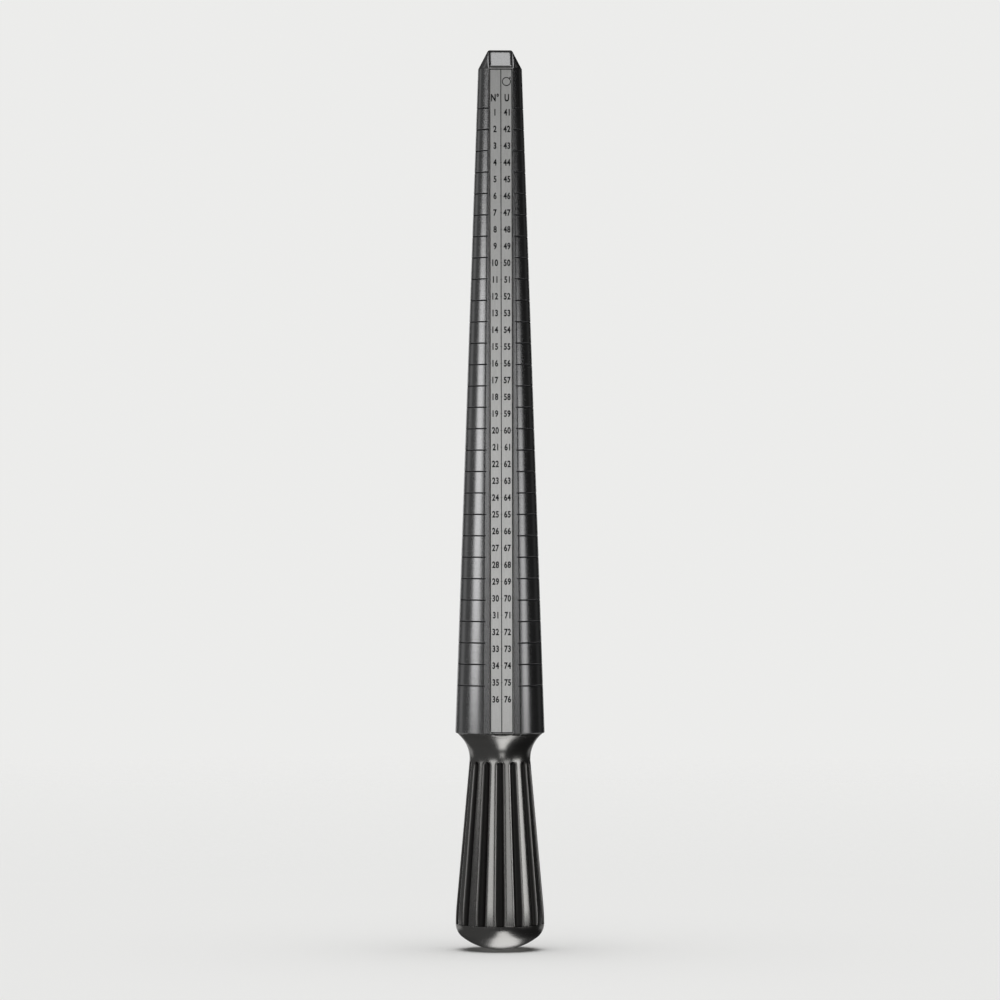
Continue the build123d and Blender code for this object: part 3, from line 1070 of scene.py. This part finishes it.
def soft_light(name, azimuth, elevation, distance, size, radiance, target, group, on_metal=True):
    """A rectangular soft light that faces a point on the axis, with its brightness as radiance.

    It lights only the pieces of its group.
    """
    width, height = size
    light = bpy.data.lights.new(name, "AREA")
    light.shape = "RECTANGLE"
    light.size = width
    light.size_y = height
    light.energy = radiance * pi * width * height
    lamp = bpy.data.objects.new(name, light)
    a, e = radians(azimuth), radians(elevation)
    direction = Vector((sin(a) * cos(e), -cos(a) * cos(e), sin(e)))
    lamp.location = Vector((0.0, 0.0, target)) + direction * distance
    lamp.rotation_euler = direction.to_track_quat("Z", "Y").to_euler()
    lamp.visible_camera = False
    lamp.visible_glossy = on_metal
    lamp.light_linking.receiver_collection = group
    bpy.context.scene.collection.objects.link(lamp)


def overhead_light(group):
    """An even light from above for the floor, which leaves the mandrel's soft contact shadow."""
    light = bpy.data.lights.new("overhead", "SUN")
    light.energy = SUN_STRENGTH
    light.angle = SUN_ANGLE
    lamp = bpy.data.objects.new("overhead", light)
    lamp.visible_glossy = False
    lamp.light_linking.receiver_collection = group
    bpy.context.scene.collection.objects.link(lamp)


def make_camera():
    """A long lens, level with the mandrel's middle, at the angle of the printed picture."""
    camera = bpy.data.cameras.new("camera")
    camera.sensor_width = SENSOR
    camera.lens = SENSOR * CAMERA_DISTANCE / VIEW_HEIGHT
    camera.clip_start = 0.01
    viewer = bpy.data.objects.new("camera", camera)
    a = radians(CAMERA_AZIMUTH)
    viewer.location = MIDDLE + Vector((sin(a), -cos(a), 0.0)) * CAMERA_DISTANCE
    viewer.rotation_euler = (pi / 2, 0.0, a)
    bpy.context.scene.collection.objects.link(viewer)
    bpy.context.scene.camera = viewer


floor = pale_floor()
surroundings()
gauge = light_group("gauge_lit", (barrel, front_plate, rear_plate))
grip = light_group("grip_lit", (handle, cap))
neck = light_group("neck_lit", [handle])
# Each light: azimuth, elevation, distance, (width, height), radiance, height of its target, group.
soft_light("left_soft", -74, 0, 0.8, (0.36, 0.22), 1.1, 0.18, gauge)
soft_light("right_soft", 69, 0, 0.8, (0.24, 0.2), 0.9, 0.13, gauge)
soft_light("flat_soft", 2.5, 0, 0.9, (0.2, 0.16), 0.6, 0.2, gauge)
soft_light("nose_soft", 0, 72, 0.8, (0.4, 0.3), 0.85, 0.247, gauge)
soft_light("front_fill", 0, 0, 0.2, (0.12, 0.12), 3.8, 0.13, gauge, on_metal=False)
soft_light("rear_fill", 180, 0, 0.2, (0.12, 0.12), 3.8, 0.13, gauge, on_metal=False)
soft_light("grip_left", -76, 0, 0.3, (0.11, 0.1), 0.55, 0.13, grip)
soft_light("grip_front_left", -28, 0, 0.9, (0.42, 0.3), 0.75, 0.16, grip)
soft_light("grip_front_right", 23, 0, 0.9, (0.42, 0.3), 0.5, 0.16, grip)
soft_light("grip_right", 64, 0, 0.8, (0.44, 0.3), 0.95, 0.15, grip)
soft_light("grip_low", 90, -83, 0.5, (1.3, 0.26), 0.9, 0.0, grip)
soft_light("neck_front", 6, -19, 0.9, (0.24, 0.28), 0.55, 0.05, neck)
for side, rim, edge in ((-1, 0.13, 0.22), (1, 0.03, 0.15)):
    soft_light("rim_soft", side * 126, 0, 0.8, (0.24, 0.4), rim, 0.2, gauge)
    soft_light("back_soft", 180 + side * 14, 0, 0.9, (0.26, 0.4), 0.6, 0.15, gauge)
    soft_light("grip_back", 180 + side * 16, 0, 0.9, (0.2, 0.6), 0.5, 0.12, grip)
    soft_light("under_gauge_front", side * 50, -32, 1.0, (0.7, 0.5), 0.4, 0.15, gauge)
    soft_light("under_gauge_back", side * 130, -32, 1.0, (0.7, 0.5), 0.4, 0.15, gauge)
    soft_light("under_grip", side * 140, -11, 1.0, (0.5, 0.2), edge, 0.03, grip)
    soft_light("nose_side", side * 40, 35, 0.8, (0.35, 0.3), 0.5, 0.247, gauge)
    soft_light("nose_back", side * 124, 41, 0.8, (0.2, 0.16), 0.3, 0.247, gauge)
overhead_light(light_group("floor_lit", [floor]))
make_camera()
bpy.context.scene.view_settings.view_transform = "Standard"

bpy.context.view_layer.update()
